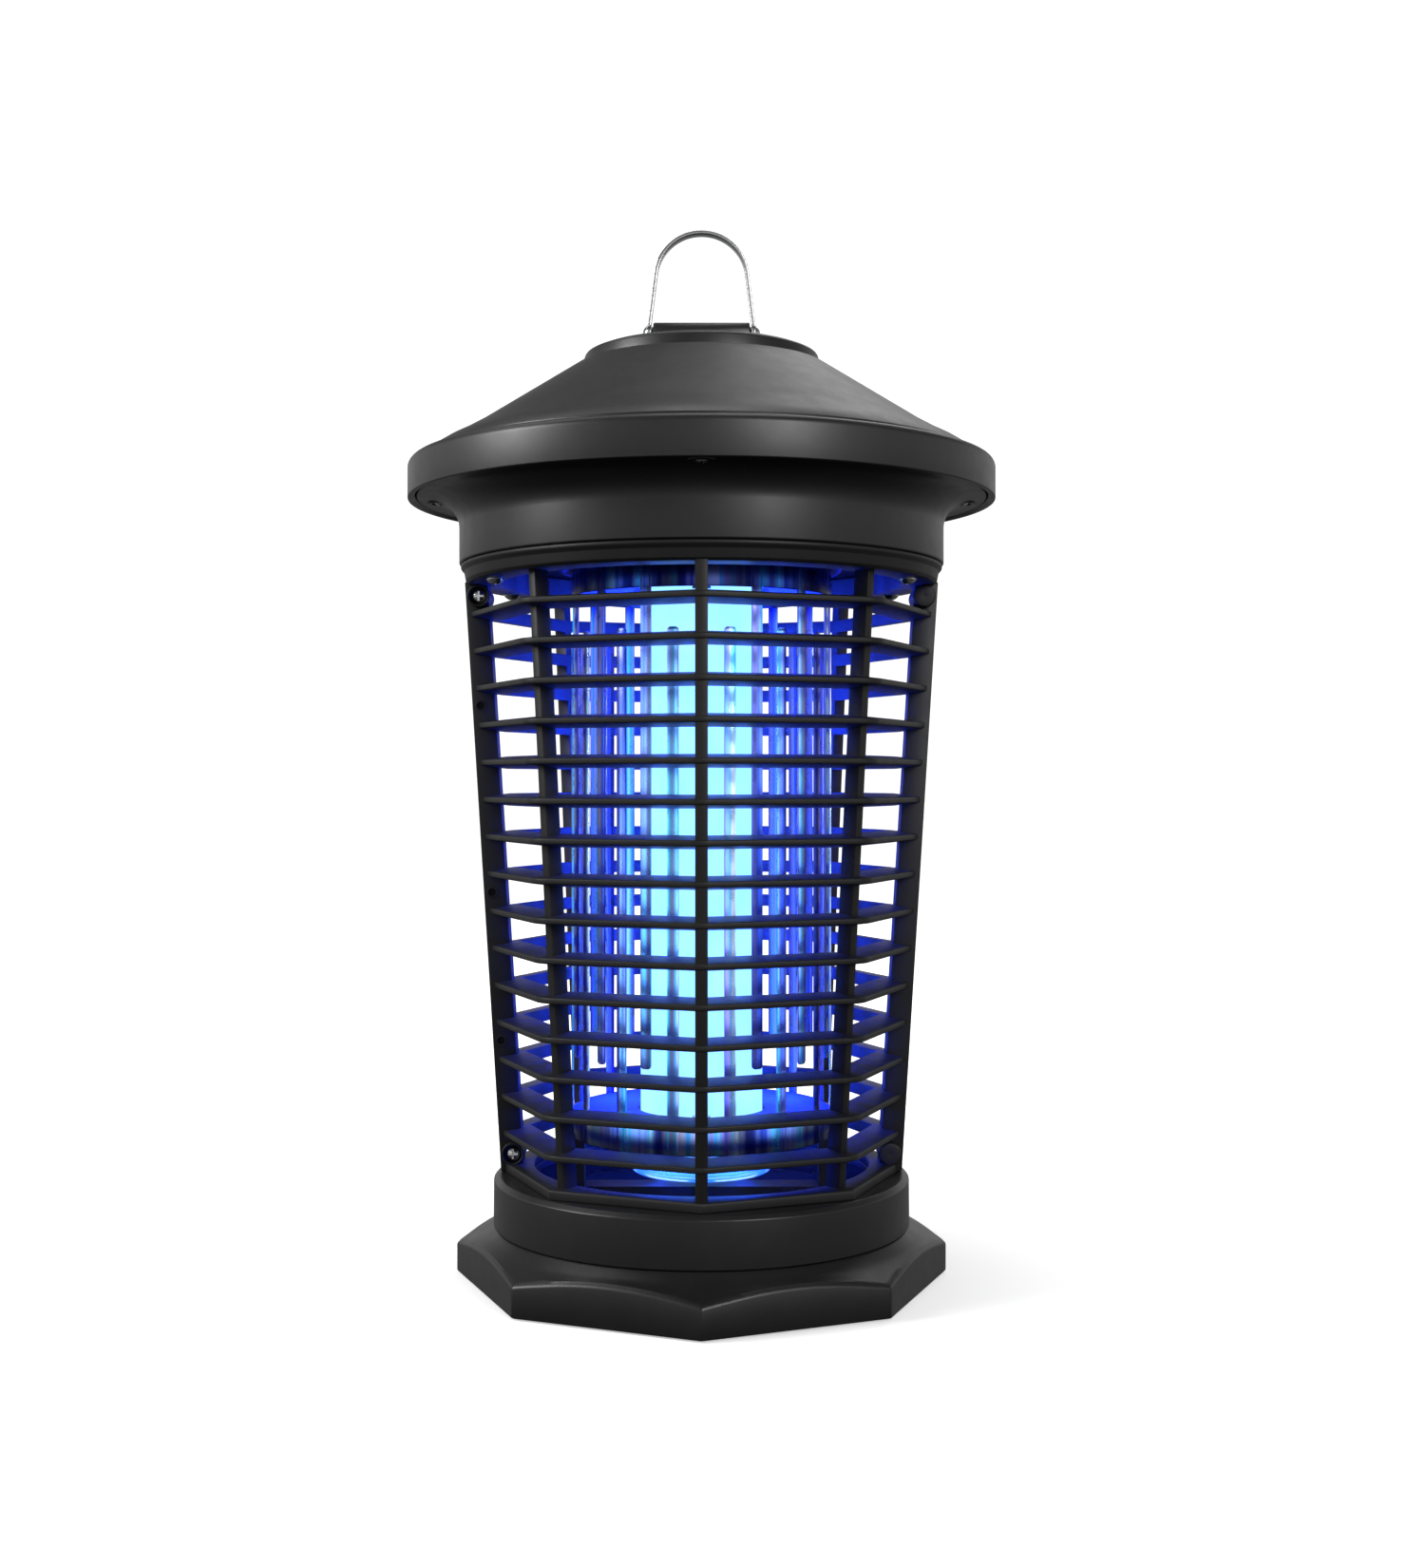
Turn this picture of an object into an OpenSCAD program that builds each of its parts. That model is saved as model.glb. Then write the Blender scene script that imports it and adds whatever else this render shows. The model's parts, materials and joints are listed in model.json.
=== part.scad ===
// Lantern-shaped electric bug zapper. Millimetres, +Z up, standing on z = 0 with its front towards -Y.

/* [Base] */
// Distance from the axis to a corner of the eight-sided tray
tray_r = 75.7; // [74:0.1:80]
// Height of the tray where it meets the collar
tray_h = 16.3; // [15:0.1:17]
// Height of the tray's upright faces at a corner
tray_corner_h = 9.8; // [8:0.1:10.5]
// Height of the tray's upright faces half way between two corners
tray_mid_h = 12.6; // [11:0.1:13.5]
// Outer radius of the round collar above the tray
collar_r = 63.85; // [63.4:0.05:64.6]
// Angle that the tray turns through to unlock
tray_turn = 20; // [18:1:22]

/* [Cage] */
// Height of the top face of the collar, where the cage starts
cage_z = 31.9; // [31:0.1:33]
// Distance from the axis to a corner of the cage at its bottom
cage_bottom_r = 61.8; // [61:0.1:62.4]
// How far the cage widens for each millimetre of height
cage_taper = 0.0615; // [0.058:0.0005:0.063]
// Number of louvres
louvre_count = 15; // [14:1:15]
// Height of the lowest louvre's outer lip
louvre_z = 43.8; // [43:0.1:45]
// Height from one louvre to the next
louvre_pitch = 11.39; // [11:0.01:11.4]
// Width of a louvre from its lip to its root
louvre_depth = 9; // [8:0.1:9.5]
// Thickness of a louvre at its lip
louvre_lip = 1.65; // [1.2:0.05:2]
// Thickness of a louvre at its root
louvre_root = 4; // [3:0.1:4.4]
// Width of a side post
post_w = 7.2; // [7:0.1:8]
// Thickness of each half of a side post
post_t = 4; // [3.6:0.1:5]

/* [Grid] */
// Outer radius of the two grid combs
grid_r = 40.1; // [39.6:0.1:40.6]
// Number of fingers on each comb
finger_count = 15; // [12:1:16]
// Width of a finger
finger_w = 3.4; // [2.4:0.1:3.6]
// Thickness of the combs' sheet metal
sheet_t = 0.7; // [0.6:0.1:1]

/* [Lamp] */
// Radius of the lamp's glass tube
lamp_r = 18.8; // [18:0.1:18.9]
// Height of the lamp's lower end
lamp_z = 34; // [33.8:0.1:35]

/* [Head] */
// Height of the lower edge of the head's neck
neck_z = 217.9; // [217.5:0.1:219]
// Radius of the head's neck
neck_r = 74.4; // [74.2:0.1:76]
// Height of the straight part of the neck
neck_h = 11.2; // [10:0.1:12]
// Outer radius of the roof's rim
rim_r = 90; // [89:0.1:92]
// Height of the rim's outer band
rim_h = 10.3; // [9.8:0.1:12]
// Rise of the cone above the rim
cone_rise = 29.5; // [26:0.1:31]

/* [Bail] */
// Width of the steel strip of the bail
bail_w = 4; // [3:0.1:5]
// Thickness of the steel strip
bail_t = 1.2; // [1:0.1:1.3]
// Height of the bail above its pin
bail_h = 31.7; // [30:0.1:36]
// Length of the hinge bar that the bail turns on
bar_l = 29.8; // [29.4:0.1:30]

/* [Hidden] */
$fn = 96;

// Gap left between pieces that only touch
gap = 0.1;
// Radius of every small screw and of its holes
screw_r = 1.5;
hole_r = 1.52;
head_r = 2.55;
head_h = 1.9;
wall = 2.4;
seam = 0.3;

// Radius of the cage's corners at a height
function cage_r(z) = cage_bottom_r + (z - cage_z) * cage_taper;
// Points along an arc, from angle a0 to a1, in n steps
function arc(cx, cz, r, a0, a1, n = 8) =
    [for (i = [0:n]) [cx + r * cos(a0 + (a1 - a0) * i / n), cz + r * sin(a0 + (a1 - a0) * i / n)]];

module turned(points) { rotate_extrude() polygon(points); }

module tube(r_out, r_in, z0, z1) {
    translate([0, 0, z0]) difference() {
        cylinder(r = r_out, h = z1 - z0);
        translate([0, 0, -1]) cylinder(r = r_in, h = z1 - z0 + 2);
    }
}

module rod(r, z0, z1) { translate([0, 0, z0]) cylinder(r = r, h = z1 - z0, $fn = 32); }

// A pan-head screw along +Z whose head's seat is at the origin and whose shank goes up
module screw(length) {
    difference() {
        union() {
            cylinder(r = screw_r, h = length, $fn = 32);
            intersection() {
                translate([0, 0, 1.05]) sphere(r = head_r + 0.4, $fn = 48);
                translate([0, 0, -head_h]) cylinder(r = head_r, h = head_h, $fn = 48);
            }
        }
        for (a = [0, 90]) rotate([0, 0, a]) translate([-1.5, -0.3, -head_h - 1]) cube([3, 0.6, 2.1]);
    }
}

module spoke(angles, r) { for (a = angles) rotate([0, 0, a]) translate([r, 0, 0]) children(); }

// ---------------------------------------------------------------- tray
spigot_r = collar_r - wall - 2.4;
bowl_r = spigot_r - wall;
lug_out = collar_r - wall - 0.35;
ledge_in = spigot_r + 0.35;
lug_angles = [45, 135, 225, 315];
lug_half = 7;
ledge_half = 8;
ledge_z = tray_h + 1;
foot_angles = [22.5, 112.5, 202.5, 292.5];
foot_r = 61;
foot_pad_r = 5;
foot_h = 1.4;

// Cylinder-like body with eight flat sides and corners at 0, 45, 90 ... degrees
module octagon(r, z0, z1) { translate([0, 0, z0]) cylinder(r = r, h = z1 - z0, $fn = 8); }

// The concave slope of the tray's upper face, drop millimetres below the outer surface
module tray_slope(drop) {
    mid_r = tray_r * cos(22.5);
    turned([[0, -1], [tray_r + 3, -1], [tray_r + 3, tray_corner_h - 1.3 - drop],
            [tray_r, tray_corner_h - drop],
            [(tray_r + mid_r) / 2, (tray_corner_h + tray_mid_h) / 2 - 0.15 - drop],
            [mid_r, tray_mid_h - drop],
            [(mid_r + collar_r) / 2, (tray_mid_h + tray_h) / 2 - 0.25 - drop],
            [collar_r - 0.1, tray_h - drop], [0, tray_h - drop]]);
}

module ring_sector(r_in, r_out, z0, z1, a0, a1) {
    rotate([0, 0, a0]) rotate_extrude(angle = a1 - a0)
        translate([r_in, z0]) square([r_out - r_in, z1 - z0]);
}

module tray() {
    color([0.14, 0.14, 0.145]) difference() {
        union() {
            difference() {
                intersection() {
                    octagon(tray_r, 0.5, tray_h);
                    tray_slope(0);
                }
                intersection() {
                    octagon(tray_r - wall / cos(22.5), -1, tray_h);
                    tray_slope(wall);
                }
            }
            tube(spigot_r, bowl_r, 2.4, tray_h + 4.9);
            translate([0, 0, 2.4]) cylinder(r = spigot_r, h = 2.4);
            for (a = lug_angles)
                ring_sector(spigot_r - 1, lug_out, ledge_z + 2.3, tray_h + 4.9, a - lug_half, a + lug_half);
            spoke(foot_angles, foot_r) translate([0, 0, foot_h])
                cylinder(r = foot_pad_r + 1, h = 9, $fn = 48);
            spoke([0:45:315], spigot_r - 1) translate([0, -0.8, 1.2]) cube([tray_r - spigot_r - 1, 1.6, 8]);
        }
        translate([0, 0, 4.8]) cylinder(r = bowl_r, h = tray_h + 10);
    }
}

module tray_feet() {
    color([0.08, 0.08, 0.08]) spoke(foot_angles, foot_r) cylinder(r = foot_pad_r, h = foot_h, $fn = 48);
}

// ---------------------------------------------------------------- collar and bracket
flange_in = 51.5;
bar_z = 23.6;
bar_h = 4;
collar_screw_angles = [45, 135, 225, 315];
collar_screw_r = 55.6;

// Height of the stops beside each ledge, and the place of the bracket's two screws
stop_z = tray_h + 5;
bracket_x = 57;

module base_collar() {
    color([0.14, 0.14, 0.145]) difference() {
        union() {
            turned([[collar_r - wall, tray_h + seam], [collar_r + 0.1, tray_h + seam],
                    [collar_r, cage_z - 1.6], [collar_r - 0.4, cage_z - 0.5],
                    [collar_r - 1.4, cage_z - gap / 2], [flange_in, cage_z - gap / 2],
                    [flange_in, cage_z - wall], [collar_r - wall, cage_z - wall]]);
            for (a = lug_angles) {
                ring_sector(ledge_in, collar_r - 1, ledge_z, ledge_z + 2, a - ledge_half, a + ledge_half);
                ring_sector(ledge_in, collar_r - 1, ledge_z, stop_z, a - ledge_half - 3, a - ledge_half + 0.4);
                ring_sector(ledge_in, collar_r - 1, ledge_z, stop_z,
                            a + tray_turn + ledge_half, a + tray_turn + ledge_half + 3);
            }
            for (s = [-1, 1]) translate([s * (bracket_x + 0.6) - 4, -6, bar_z + bar_h + gap / 2])
                cube([8, 12, cage_z - wall - bar_z - bar_h - gap / 2 + 0.5]);
        }
        spoke(collar_screw_angles, collar_screw_r) rod(hole_r, cage_z - wall - 1, cage_z + 1);
        for (s = [-1, 1]) translate([s * bracket_x, 0, 0]) rod(hole_r, bar_z, cage_z - 0.8);
    }
}

module collar_screws() {
    color("silver") spoke(collar_screw_angles, collar_screw_r)
        translate([0, 0, cage_z - wall - gap]) screw(wall + gap + base_ring_h - 0.3);
}

leg_w = 6.8;

module lower_bracket() {
    color([0.1, 0.1, 0.11]) difference() {
        union() {
            translate([-bracket_x - 3.4, -5, bar_z]) cube([2 * bracket_x + 6.8, 10, bar_h]);
            for (s = [-1, 1]) translate([s * (grid_r - 0.7) - leg_w / 2, -5, bar_z])
                cube([leg_w, 10, insulator_z - sheet_t - gap - bar_z]);
        }
        for (s = [-1, 1]) translate([s * bracket_x, 0, 0]) rod(hole_r, bar_z - 1, bar_z + bar_h + 1);
    }
}

module bracket_screws() {
    color("silver") for (s = [-1, 1]) translate([s * bracket_x, 0, bar_z - gap / 2]) screw(7);
}

// ---------------------------------------------------------------- cage
cage_top = neck_z - gap;
ring_z = 212.2;
ring_in = 61.3;
ring_out = 73.9;
// The top ring's low lip centres it inside the neck
ring_lip = neck_r - wall - 0.3;
base_ring_h = 2.85;
boss_r = 3.45;
boss_in = 4.4;
boss_heights = [37.9, 208.7];
boss_depth = 7.2;
dimple_heights = [72.3, 117.8, 175.2];
part_gap = 0.05;
neck_screw_angles = [22.5, 157.5, 202.5, 337.5];
neck_screw_r = 66.2;

// All the louvres: eight-sided rings, thin at the lip and thick at the root
module louvres() {
    root = louvre_depth / cos(22.5);
    for (i = [0:louvre_count - 1]) {
        z = louvre_z + i * louvre_pitch;
        lip = cage_r(z);
        rotate_extrude($fn = 8)
            polygon([[lip, z - louvre_lip / 2], [lip, z + louvre_lip / 2],
                     [lip - root, z + louvre_root / 2], [lip - root, z - louvre_root / 2]]);
    }
}

// A rib that follows the taper at an angle, set back from the corners
module rib(angle, width, set_back) {
    rotate([0, 0, angle]) rotate([90, 0, 0]) linear_extrude(height = width, center = true)
        polygon([[cage_r(cage_z) - set_back, cage_z], [cage_r(ring_z + 1) - set_back, ring_z + 1],
                 [cage_r(ring_z + 1) - louvre_depth - 0.7, ring_z + 1],
                 [cage_r(cage_z) - louvre_depth - 0.7, cage_z]]);
}

// Half a side post on the side s = -1 or 1, behind the parting plane y = 0
module half_post(s) {
    translate([0, -part_gap, 0]) rotate([90, 0, 0]) linear_extrude(height = post_t)
        polygon([[s * (cage_r(cage_z) - 0.7), cage_z], [s * (cage_r(ring_z + 1) - 0.7), ring_z + 1],
                 [s * (cage_r(ring_z + 1) - post_w), ring_z + 1], [s * (cage_r(cage_z) - post_w), cage_z]]);
}

module along_y(x, z, y0, y1, r) {
    translate([x, y1, z]) rotate([90, 0, 0]) cylinder(r = r, h = y1 - y0, $fn = 40);
}

// Half of the cage, on the -Y side
module cage_half() {
    difference() {
        union() {
            intersection() {
                louvres();
                translate([-100, -100 - part_gap, 0]) cube([200, 100, 230]);
            }
            for (s = [-1, 1]) half_post(s);
            rib(-90, 3.5, 1.1);
            for (a = [-135, -45]) rib(a, 2.8, 4.4);
            for (s = [-1, 1]) for (z = boss_heights)
                along_y(s * (cage_r(z) - boss_in), z, -boss_depth, -part_gap, boss_r);
            intersection() {
                union() {
                    turned([[ring_in, ring_z], [ring_out - 1.6, ring_z], [ring_out - 1.1, ring_z + 3.2],
                            [ring_out - 0.5, ring_z + 4.1], [ring_out, ring_z + 4.5], [ring_out, cage_top],
                            [ring_lip, cage_top], [ring_lip, cage_top + 1], [ring_in, cage_top + 1]]);
                    difference() {
                        octagon(cage_bottom_r, cage_z, cage_z + base_ring_h);
                        translate([0, 0, cage_z - 1]) cylinder(r = flange_in, h = 10);
                    }
                }
                translate([-100, -100 - part_gap, 0]) cube([200, 100, 230]);
            }
        }
        for (z = boss_heights) {
            // The screw goes in from the front on the left and ends in the back half
            along_y(-cage_r(z) + boss_in, z, -20, 1, hole_r);
            along_y(-cage_r(z) + boss_in, z, -20, -boss_depth + head_h + 0.4, head_r + 0.25);
            along_y(cage_r(z) - boss_in, z, -5.4, 1, hole_r);
        }
        for (z = dimple_heights) along_y(-cage_r(z) + 2.6, z, -post_t - 1, -post_t + 0.8, 1);
        spoke([225, 315], collar_screw_r) rod(hole_r, cage_z - 1, cage_z + base_ring_h + 0.1);
        spoke([202.5, 337.5], neck_screw_r) rod(hole_r, ring_z - 1, neck_z + 2);
    }
}

module cage_front() { color([0.13, 0.13, 0.135]) cage_half(); }

module cage_back() { color([0.13, 0.13, 0.135]) rotate([0, 0, 180]) cage_half(); }

module cage_screws() {
    color("silver") for (turn = [0, 180]) rotate([0, 0, turn]) for (z = boss_heights)
        translate([-cage_r(z) + boss_in, -boss_depth + head_h + 0.35, z]) rotate([-90, 0, 0]) screw(9.8);
}

module neck_screws() {
    color("silver") spoke(neck_screw_angles, neck_screw_r)
        translate([0, 0, ring_z - gap / 2]) screw(floor_z + wall + 3 - ring_z);
}

// ---------------------------------------------------------------- grid
insulator_z = 44.3;
insulator_top = 51.2;
band_h = 7.8;
lower_band_z = 43.5;
upper_band_z = 208.4;
upper_tip_z = 196.8;
lower_tip_z = 68.3;
upper_insulator_z = 211;
nut_h = 2.4;
tie_r = 30;
// The lead that runs down to the upper comb passes just outside it
lead_r = 0.9;
lead_out = grid_r + 1.3;
lead_angle = 145;
tie_angles = [90, 270];

module comb(band_z, tip_z, first_angle) {
    low = min(band_z + 1, tip_z);
    high = max(band_z + 1, tip_z);
    tube(grid_r, grid_r - sheet_t, band_z, band_z + band_h);
    for (i = [0:finger_count - 1]) rotate([0, 0, first_angle + i * 360 / finger_count])
        translate([grid_r - sheet_t + 0.03, -finger_w / 2, low]) cube([sheet_t - 0.06, finger_w, high - low]);
}

module upper_comb() { color([0.75, 0.76, 0.8]) comb(upper_band_z, lower_tip_z, -90); }

module lower_comb() {
    color([0.75, 0.76, 0.8]) {
        comb(lower_band_z, upper_tip_z, -90 + 180 / finger_count);
        tube(grid_r - sheet_t / 2, grid_r - 4, lower_band_z, lower_band_z + sheet_t);
    }
}

module lower_insulator() {
    color([0.1, 0.12, 0.35]) difference() {
        tube(grid_r - sheet_t - gap, lamp_r + 0.8, insulator_z, insulator_top);
        spoke(tie_angles, tie_r) rod(hole_r, insulator_z - 1, insulator_top + 1);
    }
}

module upper_insulator() {
    color([0.1, 0.12, 0.35]) difference() {
        union() {
            tube(grid_r - sheet_t - gap, lamp_r + 2.2, upper_insulator_z, floor_z - gap);
            tube(grid_r + 3, grid_r - 5, floor_z - 2.6, floor_z - gap);
        }
        spoke(tie_angles, tie_r) rod(hole_r, upper_insulator_z - 1, floor_z + 1);
        spoke([lead_angle], lead_out) rod(lead_r + 0.2, floor_z - 5, floor_z + 1);
    }
}

module tie_rods() {
    color("silver") spoke(tie_angles, tie_r) rod(screw_r, insulator_z - 3, floor_z + wall + 3.4);
}

module nut(z) {
    translate([0, 0, z]) difference() {
        cylinder(r = 3.1, h = nut_h, $fn = 6);
        translate([0, 0, -1]) cylinder(r = hole_r, h = 5, $fn = 32);
    }
}

module tie_nuts() {
    color("silver") spoke(tie_angles, tie_r)
        for (z = [insulator_z - nut_h - gap, insulator_top + gap,
                  upper_insulator_z - nut_h - gap, floor_z + wall + gap])
            nut(z);
}

// ---------------------------------------------------------------- lamp
tube_top = 222;
neck_cone_top = 240;
shell_top = 262;
shell_r = 13;
// The socket's open end, and its outer radius
socket_z = neck_cone_top - 0.8;
socket_r = 18.2;

module lamp_tube() {
    color([0.72, 0.95, 1]) turned(concat(
        [[0, lamp_z]], arc(lamp_r - 5, lamp_z + 5, 5, -90, 0), [[lamp_r, tube_top], [lamp_r - 1.2, tube_top]],
        arc(lamp_r - 5, lamp_z + 5, 3.8, 0, -90), [[0, lamp_z + 1.2]]));
}

module lamp_neck() {
    color([0.92, 0.92, 0.9]) turned([
        [lamp_r + 0.05, 212.5], [lamp_r + 1.6, 212.5], [lamp_r + 1.6, 226], [shell_r + 2, neck_cone_top],
        [0, neck_cone_top], [0, neck_cone_top - 2.4], [shell_r, neck_cone_top - 2.4], [lamp_r - 1, 225],
        [lamp_r - 1, tube_top + gap], [lamp_r + 0.05, tube_top + gap]]);
}

module lamp_shell() {
    turns = 5;
    pitch = (shell_top - neck_cone_top - 4) / turns;
    color([0.78, 0.76, 0.7]) {
        tube(shell_r - 0.8, shell_r - 1.4, neck_cone_top + gap, shell_top);
        for (i = [0:turns - 1]) translate([0, 0, neck_cone_top + 2 + i * pitch])
            turned([[shell_r - 1, 0], [shell_r, 0.35 * pitch],
                    [shell_r, 0.65 * pitch], [shell_r - 1, pitch]]);
    }
}

module lamp_contact() {
    color([0.7, 0.6, 0.3])
        turned([[0, shell_top + gap], [shell_r - 0.8, shell_top + gap], [shell_r - 1.4, shell_top + 1.4],
                [5, shell_top + 2.4], [4, shell_top + 3.6], [0, shell_top + 4]]);
}

module lamp_socket() {
    color([0.9, 0.9, 0.87]) difference() {
        turned([[shell_r + 0.6, socket_z], [shell_r + 1.6, socket_z], [shell_r + 1.6, socket_z + 2.3],
                [socket_r, socket_z + 2.3], [socket_r, shell_top + 2], [16.5, shell_top + 8],
                [0, shell_top + 8], [0, shell_top + 5], [shell_r + 0.6, shell_top + 5]]);
        translate([0, 0, socket_z - 0.2]) cylinder(r = shell_r + 2.2, h = 1.2);
    }
}

// The socket bracket's upright legs and the screws in its feet
strap_x = 25;
strap_screw_x = 31;
strap_in = socket_r + 0.1;

module socket_bracket() {
    color("silver") difference() {
        union() {
            for (s = [-1, 1]) {
                translate([s * strap_x - 0.75, -6, floor_z + wall + gap]) cube([1.5, 12, 20]);
                translate([min(s * strap_x, s * (strap_x + 10)), -6, floor_z + wall + gap]) cube([10, 12, 1.5]);
                translate([min(s * strap_in, s * (strap_x + 0.7)), -6, floor_z + wall + 20 + gap])
                    cube([strap_x + 0.7 - strap_in, 12, 1.5]);
            }
            tube(21, strap_in, floor_z + wall + 20 + gap, floor_z + wall + 21.6);
        }
        for (s = [-1, 1]) translate([s * strap_screw_x, 0, 0]) rod(hole_r, floor_z, floor_z + 8);
    }
}

module lamp_cup() {
    top = insulator_z - sheet_t - 0.3;
    color([0.5, 0.7, 1, 0.5])
        turned([[0, 32], [20.2, 32], [21.5, 32.8], [21.8, 34], [21.8, top - 1.6], [26, top - 1.6],
                [26, top], [20.3, top], [20.3, 33.5], [0, 33.5]]);
}

// ---------------------------------------------------------------- head
floor_z = neck_z + 1.1;
flare_r = 9;
plate_z = neck_z + neck_h + flare_r;
plate_t = 2.4;
rim_z = plate_z - 0.6;
rim_top = rim_z + rim_h;
cone_z = rim_top + 1.8;
cone_top = cone_z + cone_rise;
cone_top_r = 39.1;
// Thickness of the roof at its top, where the cap's screws pass
roof_t = 2.9;
rim_screw_r = 80.5;
rim_screw_angles = [0, 90, 180, 270];
gland_z = neck_z + 8.9;
gland_y = neck_r + 0.9;
board_x = 33;
board_y0 = 35;
board_y1 = 59;
board_z = floor_z + wall + 5;
board_holes = [[-29, 39], [29, 39], [-29, 55], [29, 55]];

module head_base() {
    color([0.15, 0.15, 0.155]) difference() {
        union() {
            turned(concat(
                [[22, floor_z], [neck_r - wall, floor_z], [neck_r - wall, neck_z], [neck_r, neck_z]],
                arc(neck_r + flare_r, plate_z - flare_r, flare_r, 180, 90),
                [[rim_r - 2.7, plate_z], [rim_r - 2.7, plate_z + plate_t]],
                arc(neck_r + flare_r, plate_z - flare_r, flare_r + plate_t, 90, 180),
                [[neck_r - wall, floor_z + wall], [22, floor_z + wall]]));
            for (p = board_holes) translate([p[0], p[1], 0]) rod(3, floor_z + 1, board_z - gap / 2);
            spoke(neck_screw_angles, neck_screw_r) rod(3.4, floor_z + 1, floor_z + wall + 4);
            for (s = [-1, 1]) translate([s * strap_screw_x, 0, 0]) rod(1.4, floor_z + 1, floor_z + wall + 3);
            along_y(0, gland_z, neck_r - 1.5, gland_y, 5.2);
        }
        spoke(neck_screw_angles, neck_screw_r) rod(hole_r, floor_z - 2, floor_z + wall + 3.4);
        spoke(tie_angles, tie_r) rod(hole_r, floor_z - 1, floor_z + wall + 1);
        spoke([lead_angle], lead_out) rod(lead_r + 0.2, floor_z - 1, floor_z + wall + 1);
        spoke(rim_screw_angles, rim_screw_r) {
            rod(hole_r, plate_z - 3, plate_z + plate_t + 1);
            rod(head_r + 0.4, plate_z - 3, plate_z + 0.9);
        }
        for (p = board_holes) translate([p[0], p[1], 0]) rod(hole_r, floor_z + wall + 0.5, board_z + 1);
        along_y(0, gland_z, neck_r - wall - 3, neck_r + 2, 4.1);
    }
}

module roof() {
    in_r = rim_r - 2.4;
    color([0.17, 0.17, 0.175]) difference() {
        union() {
            turned(concat(
                [[8, cone_top], [cone_top_r - 0.3, cone_top], [cone_top_r, cone_top - 0.2],
                 [70, cone_z + 9.5], [76, cone_z + 6.1], [80, cone_z + 4.1],
                 [rim_r - 7.5, cone_z + 2.6], [rim_r - 5.5, cone_z + 0.9], [rim_r - 4.8, cone_z - 0.3],
                 [rim_r - 4.2, cone_z - 0.3], [rim_r - 3.9, cone_z]],
                arc(rim_r - 2.3, rim_top - 0.8, 2.3, 90, 0, 6),
                [[rim_r, rim_z], [in_r, rim_z], [in_r, rim_top - 2.2], [84, cone_z - 2.4],
                 [80, cone_z + 0.6], [76, cone_z + 2.9], [70, cone_z + 6.2],
                 [cone_top_r - 0.8, cone_top - roof_t], [8, cone_top - roof_t]]));
            spoke(rim_screw_angles, rim_screw_r) rod(3.4, plate_z + plate_t + gap / 2, cone_z + 0.8);
        }
        spoke(rim_screw_angles, rim_screw_r) rod(hole_r, plate_z, cone_z - 1.2);
        spoke(cap_screw_angles, cap_screw_r) rod(hole_r, cone_top - 4, cone_top + 1);
    }
}

module head_screws() {
    color([0.3, 0.3, 0.3]) spoke(rim_screw_angles, rim_screw_r) translate([0, 0, plate_z + 0.85]) screw(8);
}

module cable_gland() {
    color([0.09, 0.09, 0.09]) difference() {
        union() {
            along_y(0, gland_z, neck_r - wall - 6, gland_y + 1, 4);
            along_y(0, gland_z, gland_y + gap / 2, gland_y + 2.4, 5);
            translate([0, gland_y + 2.3, gland_z]) rotate([-90, 0, 0])
                turned([[0, 0], [4.6, 0], [4.1, 4.2], [0, 4.2]]);
        }
        along_y(0, gland_z, neck_r - wall - 8, neck_r + 9, 3.3);
    }
}

module gland_nut() {
    color([0.09, 0.09, 0.09]) translate([0, neck_r - wall - 4.2, gland_z]) rotate([-90, 0, 0]) difference() {
        cylinder(r = 6.1, h = 3.2, $fn = 6);
        translate([0, 0, -1]) cylinder(r = 4.02, h = 6);
    }
}

// ---------------------------------------------------------------- driver
module driver_board() {
    color([0.1, 0.35, 0.16]) difference() {
        translate([-board_x, board_y0, board_z]) cube([2 * board_x, board_y1 - board_y0, 1.6]);
        for (p = board_holes) translate([p[0], p[1], 0]) rod(hole_r, board_z - 1, board_z + 3);
    }
}

module board_screws() {
    color("silver") for (p = board_holes) translate([p[0], p[1], board_z + 1.6 + gap / 2])
        mirror([0, 0, 1]) screw(5.8);
}

module transformer() {
    z = board_z + 1.6 + gap / 2;
    color([0.75, 0.6, 0.2]) translate([6, 39, z]) {
        cube([16, 15, 3]);
        translate([3, 2, 0]) cube([10, 11, 14]);
        translate([0, 0, 12]) cube([16, 15, 2.5]);
        translate([-0.1, 5, 0]) cube([3.2, 5, 14]);
        translate([12.9, 5, 0]) cube([3.2, 5, 14]);
    }
}

module capacitors() {
    z = board_z + 1.6 + gap / 2;
    color([0.15, 0.3, 0.6]) {
        translate([-8, 42, z]) cylinder(r = 4, h = 12);
        translate([-8, 52, z]) cylinder(r = 4, h = 12);
        for (y = [38, 44, 50]) translate([-24, y, z]) cube([9, 4, 8]);
    }
}

module diodes() {
    z = board_z + 1.6 + gap / 2;
    color([0.08, 0.08, 0.08]) for (i = [0:3]) translate([0, 38 + i * 5, z + 1.3]) rotate([0, 90, 0])
        translate([0, 0, -2.4]) cylinder(r = 1.3, h = 4.8, $fn = 32);
}

// A wire along straight runs, with a little overlap at each bend
module wire(points, r) {
    for (i = [0:len(points) - 2]) {
        run = points[i + 1] - points[i];
        translate(points[i]) rotate([0, acos(run[2] / norm(run)), atan2(run[1], run[0])])
            translate([0, 0, -r / 3]) cylinder(r = r, h = norm(run) + 2 * r / 3, $fn = 8);
    }
}

module grid_leads() {
    z = board_z + 2.5;
    lead_x = lead_out * cos(lead_angle);
    lead_y = lead_out * sin(lead_angle);
    color([0.7, 0.1, 0.1]) {
        wire([[-29, 46, z], [-39, 41, z], [lead_x, lead_y, z + 0.5], [lead_x, lead_y, upper_band_z + 4]],
             lead_r);
        wire([[0, 35.6, z + 1.5], [0, tie_r, z + 1.5], [0, tie_r, floor_z + wall + 4.4]], lead_r);
    }
}

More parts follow.
